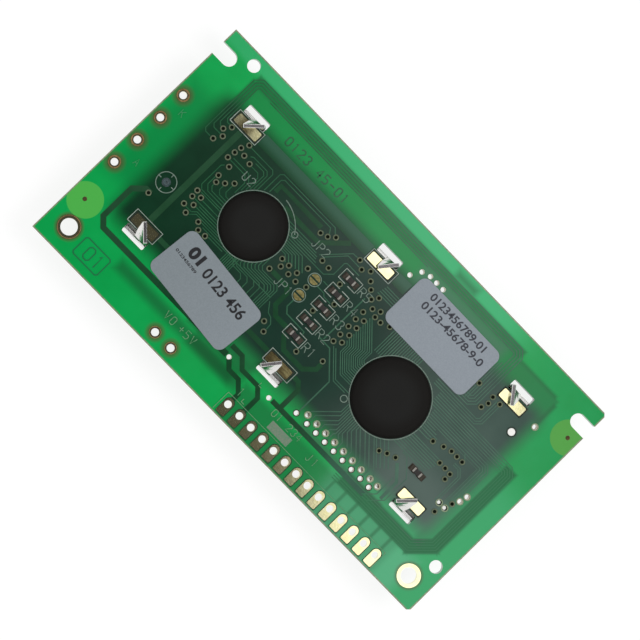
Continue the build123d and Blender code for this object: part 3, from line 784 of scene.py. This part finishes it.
# The outer rim of the holes over the lit laminate is painted with a tan glow, painted light through the
# laminate
rim_gold = clouded_finish("lit_rim", 1.8, (120, 92, 48), (168, 138, 88), Metallic=0.3, Roughness=0.4)
backlight_holes = [(backlight_x - corner_x, y - corner_y) for y in backlight_ys]
supply_holes = [(x - corner_x, supply_y - corner_y) for x in supply_xs]
eyelet = (eyelet_xs[0] - corner_x, eyelet_y - corner_y)
for name, holes, outer, inner, sides in (
    ("backlight_rims", backlight_holes, 1.04, 0.8, 30),
    ("supply_rims", supply_holes, 0.97, 0.86, 28),
    ("eyelet_rim", [eyelet], 1.88, 1.74, 40),
):
    set_rings(name, holes, rim_gold, outer, inner, rim_tall, sides, level=0.05)

# Epoxy caps: matt black resin poured over each bare silicon chip and its wires, and kept in by a printed
# ring. It is painted a little paler at the crown, painted light on the top of each cap.
epoxy, tree, shader, place = new_finish("black_epoxy", Roughness=0.6, Specular_IOR_Level=0.12)
# Painted light: paler at the crown of each cap
crown_light = largest(tree, [soft_disc(tree, place, -18.2, 2.6, 3.9, 3.2),
                        soft_disc(tree, place, 16.0, -0.6, 4.6, 3.8)])
set_colour(tree, shader, shade(tree, crown_light, (17, 15, 13), (29, 29, 28)))
ripples = add(tree, "ShaderNodeTexNoise", {"Vector": place, "Scale": 4.0}).outputs["Fac"]
rough_surface(tree, shader, ripples, 0.006)
dress(epoxy, "epoxy_cap_u1", "epoxy_cap_u2")
silicon = clouded_finish("silicon", 2.0, (92, 92, 104), (108, 108, 118), Roughness=0.15, Metallic=0.4)
dress(silicon, "silicon_chip_u1", "silicon_chip_u2")

# Chip resistors: small black ceramic blocks with a tinned cap at each end, soldered by these caps
# to their lands. Five stand in a column near the middle, and one by itself at the right.
resistor_xs = (-1.5, 27.3)
cap_from = 0.5
ceramic, tree, shader, place = new_finish("resistor_body", Roughness=0.35)
across = split(tree, place)[0]
from_middle = [calculate(tree, "ABSOLUTE", calculate(tree, "SUBTRACT", across, x)) for x in resistor_xs]
capped = calculate(tree, "GREATER_THAN", calculate(tree, "MINIMUM", *from_middle), cap_from)
set_colour(tree, shader, shade(tree, capped, (42, 38, 36), (176, 172, 164)))
tree.links.new(product(tree, capped, 0.8), shader.inputs["Metallic"])
dress(ceramic, *["chip_resistor_%d" % number for number in range(1, 7)])
# The solder is painted dark grey, a painted dark reflection of what its curved fillets mirror
solder = clouded_finish("solder", 2.5, (64, 60, 54), (84, 78, 70), Metallic=1.0, Roughness=0.35)
dress(solder, "resistor_solder", "resistor_lands")

# Board lettering: white ink printed over the mask. It outlines the tabs at the left and in the
# middle, and the chip resistors.
ink_tall, ink_level = 0.02, 0.062
bracket_half = 0.95
resistor_rows = {5: 29.7, 4: 26.65, 3: 23.65, 2: 20.5, 1: 17.4}
ink = clouded_finish("printed_ink", 2.2, (124, 140, 128), (164, 176, 166), Roughness=0.5)


def box_path(low_u, high_u, low_v, high_v):
    """Closed outline of a box."""
    return [(low_u, low_v), (high_u, low_v), (high_u, high_v), (low_u, high_v), (low_u, low_v)]


def ring_path(u, v, radius, start=0, end=360, steps=32):
    """Arc or full circle."""
    angles = [math.radians(start + (end - start) * k / steps) for k in range(steps + 1)]
    return [(u + radius * math.cos(a), v + radius * math.sin(a)) for a in angles]


print_lines = []
for u in (12.33, 42.4):
    print_lines += [box_path(u - 2.78, u + 2.72, v, v + 2.3) for v in (33.6, 11.4)]
for v in resistor_rows.values():
    for inner_u, outer_u in ((40.35, 38.85), (40.9, 42.45)):
        high, low = v + bracket_half, v - bracket_half
        print_lines.append([(inner_u, high), (outer_u, high), (outer_u, low), (inner_u, low)])
lay("printed_lines", print_lines, ink, width=0.14, height=ink_tall, level=ink_level)

# Thin print: part marks and rings, which let more of the mask through. Over the lit laminate the marks are
# faint, painted almost the colour of the mask there in the painted light through the laminate.
thin_ink = clouded_finish("thin_ink", 3.0, (88, 112, 98), (122, 140, 128), Roughness=0.5)
marks = letter("U2", 17.2, 28.6, 1.35)
marks += letter("JP2", 32.2, 29.2, 1.4, 0.82) + letter("JP1", 32.3, 20.9, 1.4, 0.82)
for number, v in resistor_rows.items():
    marks += letter("R" + str(number), 42.8, v - 0.75, 1.5, 0.82)
marks += [ring_path(*right_cap, steps=72), ring_path(*left_cap, steps=64)]
marks += [ring_path(*left_cap[:2], 6.55, 84, 34), ring_path(36.6, 25.75, 1.05), ring_path(36.6, 22.3, 1.05)]
marks += [ring_path(29.4, 28.4, 0.5), ring_path(53.1, 16.1, 0.55), ring_path(round_u, round_v, 1.65)]
for turn in (0, 90, 180, 270):
    toward_u, toward_v = math.cos(math.radians(turn)), math.sin(math.radians(turn))
    marks.append([(round_u + reach * toward_u, round_v + reach * toward_v) for reach in (1.6, 1.1)])
lay("printed_marks", marks, thin_ink, width=0.14, height=ink_tall, level=ink_level)

faint_ink, tree, shader, place = new_finish("faint_ink", Roughness=0.5)
# Painted light: the marks take the green of the light through the laminate
backlit_ink = shade(tree, mottle(tree, place, 3.0), (62, 138, 88), (118, 156, 118))
from_left = ramp_between(tree, split(tree, place)[0], -37.0, -34.0)
set_colour(tree, shader, blend_colours(tree, from_left, paint(44, 136, 82), backlit_ink))
marks = letter("K", 3.4, 28.3, 1.2) + letter("A", 3.9, 18.0, 1.2) + letter("V0", 24.2, 4.85, 1.3, 0.95)
marks += letter("+5V", 27.3, 4.85, 1.3, 0.95) + letter("1", 40.7, 4.6, 1.4) + letter("J1", 55.5, 5.2, 1.3)
marks += letter("01 234", 46.8, 6.2, 1.2, 0.9)
marks += [[(42.2, 4.9), (42.2, 4.3), (42.8, 4.3)], [(42.3, 8.6), (42.3, 8.0), (42.9, 8.0)]]
marks += [[(39.75, 0.5), (39.75, 3.95), (75.0, 3.95), (75.0, 0.5)]]
lay("faint_marks", marks, faint_ink, width=0.12, height=ink_tall, level=ink_level)
block_ink = clouded_finish("printed_block", 3.5, (84, 128, 98), (124, 128, 114), Roughness=0.5)
lay("printed_block", [[(47.8, 5.08), (52.1, 5.08)]], block_ink, width=1.5, height=ink_tall)

# Bare clearance: the mask is cut back a little round each bare land, and the laminate shows as a
# dark line there.
pad_margin = 0.12
pin_count, first_pin, pin_v, land_radius, land_foot = 14, 41.05, 2.82, 0.85, 0.53
clearance = clouded_finish("bare_laminate", 2.0, (16, 24, 11), (26, 32, 15), Roughness=0.45)
corners = [(v.co.x * 1000 - corner_x, v.co.y * 1000 - corner_y) for v in cad["ground_pads"].data.vertices]
pad_lines = []
for u in (12.23, 42.23, 72.23):
    for upper in (True, False):
        us, vs = zip(*[c for c in corners if abs(c[0] - u) < 4 and (c[1] > 22) == upper])
        pad_lines.append(box_path(min(us) - pad_margin, max(us) + pad_margin,
                                  min(vs) - pad_margin, max(vs) + pad_margin))
lay("pad_clearance", pad_lines, clearance, width=2 * pad_margin, height=ink_tall, level=0.04)
land_lines = []
for k in range(pin_count):
    u = first_pin + pin_pitch * k
    arch = ring_path(u, pin_v, land_radius, 0, 180, 12)
    right_foot, left_foot = (u + land_radius, land_foot), (u - land_radius, land_foot)
    land_lines.append([right_foot] + arch + [left_foot, right_foot])
lay("row_clearance", land_lines, clearance, width=0.12, height=ink_tall, level=0.004)
set_rings("via_clearance", outer_row, clearance, outer=0.55, inner=0.43, height=ink_tall, sides=18,
          level=0.01)

# Paper labels: grey stickers with rounded corners, one below the left cap and one above the right
# cap. The print on them is plain figures.
paper_top = 0.125
left_turn, right_turn = -5.5, -0.3
paper, tree, shader, place = new_finish("label_paper", Roughness=0.42)
speckle = mottle(tree, place, 5.0)
# Painted sheen: the paper is paler towards the right
colour = blend_colours(tree, ramp_between(tree, split(tree, place)[0], -24.0, 18.0),
                       shade(tree, speckle, (120, 129, 134), (128, 137, 142)),
                       shade(tree, speckle, (134, 142, 150), (142, 150, 158)))
set_colour(tree, shader, colour)
rough_surface(tree, shader, speckle, 0.003)
dress(paper, "label_left", "label_right")
label_ink, tree, shader, place = new_finish("label_ink", Roughness=0.5)
to_right = ramp_between(tree, split(tree, place)[0], -8.0, 4.0)
set_colour(tree, shader, shade(tree, to_right, (18, 18, 23), (52, 54, 62)))


def label_text(name, text, u, v, tall, long, turn, bold=0.02):
    """A line of figures printed on a label, its left end and base line at (u, v)."""
    words = bpy.data.curves.new(name, "FONT")
    words.body = text
    words.offset = bold
    words.extrude = 0.003
    mesh = plain_mesh(placed(name + "_words", words))
    xs = [p.co.x for p in mesh.vertices]
    ys = [p.co.y for p in mesh.vertices]
    fit_x = long / 1000 / (max(xs) - min(xs))
    fit_y = tall / 1000 / (max(ys) - min(ys))
    mesh.transform(Matrix.Translation((-min(xs), -min(ys), 0)))
    mesh.transform(Matrix.Diagonal((fit_x, fit_y, 0.001, 1.0)))
    mesh.transform(Matrix.Rotation(math.radians(turn), 4, "Z"))
    mesh.transform(Matrix.Translation(spot(u, v, paper_top)))
    mesh.materials.clear()
    mesh.materials.append(label_ink)
    fit(name, mesh)


label_text("left_label_figures", "0123 456", 23.6, 13.55, 1.9, 9.3, left_turn)
label_text("left_label_number", "01", 19.7, 14.25, 2.1, 2.7, left_turn, 0.05)
label_text("left_label_small_figures", "0123456789", 18.1, 13.4, 0.5, 4.8, left_turn)
label_text("right_label_figures_1", "0123456789-01", 51.2, 36.65, 1.35, 12.0, right_turn)
label_text("right_label_figures_2", "0123-45678-9-0", 51.1, 34.75, 1.35, 13.4, right_turn)

# Floor, light and camera: a pale floor that stays white to the camera, a wide white soft light
# above on the right with its edge over the middle of the board, and a long lens.
reach = 2.0
floor_mesh = bpy.data.meshes.new("floor")
floor_mesh.from_pydata([(-reach, -reach, 0), (reach, -reach, 0), (reach, reach, 0), (-reach, reach, 0)],
                       [], [(0, 1, 2, 3)])
floor = placed("floor", floor_mesh)
pale = bpy.data.materials.new("pale_floor")
pale.use_nodes = True
tree = pale.node_tree
tree.nodes.clear()
rays = add(tree, "ShaderNodeLightPath").outputs
seen = largest(tree, [rays["Is Camera Ray"], rays["Is Glossy Ray"], rays["Is Transmission Ray"]])
matt = add(tree, "ShaderNodeBsdfDiffuse", {"Color": (0.8, 0.8, 0.8, 1)})
faint = add(tree, "ShaderNodeBsdfDiffuse", {"Color": (0.2, 0.2, 0.2, 1)})
glow = add(tree, "ShaderNodeEmission", {"Color": (1, 1, 1, 1), "Strength": 0.83})
bright = add(tree, "ShaderNodeAddShader", {0: faint.outputs[0], 1: glow.outputs[0]})
mixed = add(tree, "ShaderNodeMixShader", {0: seen, 1: matt.outputs[0], 2: bright.outputs[0]})
add(tree, "ShaderNodeOutputMaterial", {0: mixed.outputs[0]})
floor_mesh.materials.append(pale)

# The room as polished parts mirror it: dark overhead up to the soft light's edge, bright low down
edge_levels = (
    (0.0, 0.06), (0.6, 0.06), (0.63, 0.08), (0.645, 0.095), (0.656, 0.12), (0.663, 0.18), (0.669, 0.35),
    (0.675, 0.6), (0.681, 0.9), (0.689, 1.0), (0.7, 1.15), (0.714, 1.5), (1.0, 1.5),
)
world = bpy.data.worlds.new("studio")
bpy.context.scene.world = world
world.use_nodes = True
tree = world.node_tree
tree.nodes.clear()
toward = add(tree, "ShaderNodeTexCoord").outputs["Generated"]
near_edge = along(tree, toward, (0.598, 0.795, 0.0))
far_edge = along(tree, toward, (0.793, 0.6, 0.0))
spread = add(tree, "ShaderNodeMapRange", {0: near_edge, 1: -0.25, 2: 0.25}).outputs[0]
ramp = add(tree, "ShaderNodeValToRGB", {0: spread})
stops = ramp.color_ramp.elements
for stop, (position, level) in zip(stops, (edge_levels[0], edge_levels[-1])):
    stop.position = position
    stop.color = (level, level, level, 1)
for position, level in edge_levels[1:-1]:
    stops.new(position).color = (level, level, level, 1)
past_far_edge = ramp_between(tree, far_edge, 0.165, 0.185)
overhead = blend_colours(tree, past_far_edge, ramp.outputs["Color"], (0.42, 0.42, 0.42, 1))
low_down = ramp_between(tree, split(tree, toward)[2], 0.86, 0.94, 1.0, 0.0)
all_round = blend_colours(tree, low_down, overhead, (0.9, 0.9, 0.9, 1))
rays = add(tree, "ShaderNodeLightPath").outputs
mirror = add(tree, "ShaderNodeBackground", {"Color": all_round})
even = add(tree, "ShaderNodeBackground", {"Color": (1, 1, 1, 1), "Strength": 0.72})
sky = add(tree, "ShaderNodeMixShader", {0: rays["Is Glossy Ray"], 1: even.outputs[0], 2: mirror.outputs[0]})
add(tree, "ShaderNodeOutputWorld", {0: sky.outputs[0]})

lamp = bpy.data.lights.new("soft_light", "AREA")
lamp.shape = "RECTANGLE"
lamp.size, lamp.size_y = 0.5, 0.5
lamp.energy = 4.0
lamp_holder = placed("soft_light", lamp)
lamp_holder.location = (0.45, 0.35, 0.9)
lamp_holder.rotation_euler = (-lamp_holder.location).to_track_quat("-Z", "Y").to_euler()
lamp_holder.visible_glossy = False

lens = bpy.data.cameras.new("camera")
lens.sensor_width = 36.0
lens.lens = 157.5
camera = placed("camera", lens)
stand = Vector((-0.0338, -0.02955, 0.44198))
right_hand = Vector((0.6933, 0.7134, 0.1015)).normalized()
back = Vector((-0.0763, -0.0674, 0.9948)).normalized()
upright = back.cross(right_hand).normalized()
right_hand = upright.cross(back)
turned = Matrix((right_hand, upright, back)).transposed().to_4x4()
camera.matrix_world = Matrix.Translation(stand) @ turned
bpy.context.scene.camera = camera
bpy.context.scene.view_settings.view_transform = "Standard"
